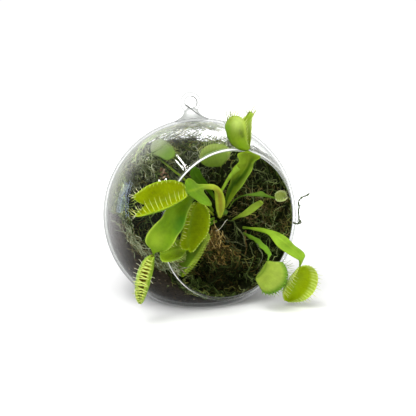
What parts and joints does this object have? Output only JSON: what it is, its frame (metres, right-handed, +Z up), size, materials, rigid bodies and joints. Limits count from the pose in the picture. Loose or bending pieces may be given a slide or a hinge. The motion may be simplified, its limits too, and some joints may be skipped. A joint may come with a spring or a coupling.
{
  "type": "potted venus flytrap",
  "caption": "Venus flytrap with toothed snap traps growing from moss and soil inside a round glass globe with a side mouth, flat base and hanging loop.",
  "frame": {"origin": "centre of the globe's flat base", "axes": "+Z up through the globe, the side mouth faces -Y, +X to the right of the mouth"},
  "size_m": [0.1252, 0.1284, 0.1275],
  "materials": {
    "clear_glass": "polished",
    "soil": "matte",
    "green_moss": "matte",
    "dry_moss": "matte",
    "crown": "satin",
    "leaf_low_left_green": "satin",
    "leaf_left_green": "satin",
    "leaf_centre_green": "satin",
    "leaf_lower_front_green": "satin",
    "leaf_lower_inner_green": "satin",
    "leaf_top_green": "satin",
    "leaf_right_long_green": "satin",
    "leaf_right_short_green": "satin",
    "leaf_right_small_green": "satin",
    "leaf_young_green": "satin",
    "leaf_inner_left_green": "satin",
    "leaf_back_left_green": "satin",
    "leaf_back_top_green": "satin"
  },
  "bodies": {
    "root": {"glass_globe": "clear_glass", "hanging_loop": "clear_glass", "potting_soil": "soil", "moss_bed": "green_moss", "dry_moss_tuft": "dry_moss", "rosette_crown": "crown", "leaf_low_left": "leaf_low_left_green", "leaf_left": "leaf_left_green", "leaf_centre": "leaf_centre_green", "leaf_lower_front": "leaf_lower_front_green", "leaf_lower_inner": "leaf_lower_inner_green", "leaf_top": "leaf_top_green", "leaf_right_long": "leaf_right_long_green", "leaf_right_short": "leaf_right_short_green", "leaf_right_small": "leaf_right_small_green", "leaf_young": "leaf_young_green", "leaf_inner_left": "leaf_inner_left_green", "leaf_back_left": "leaf_back_left_green", "leaf_back_top": "leaf_back_top_green"}
  },
  "joints": []
}
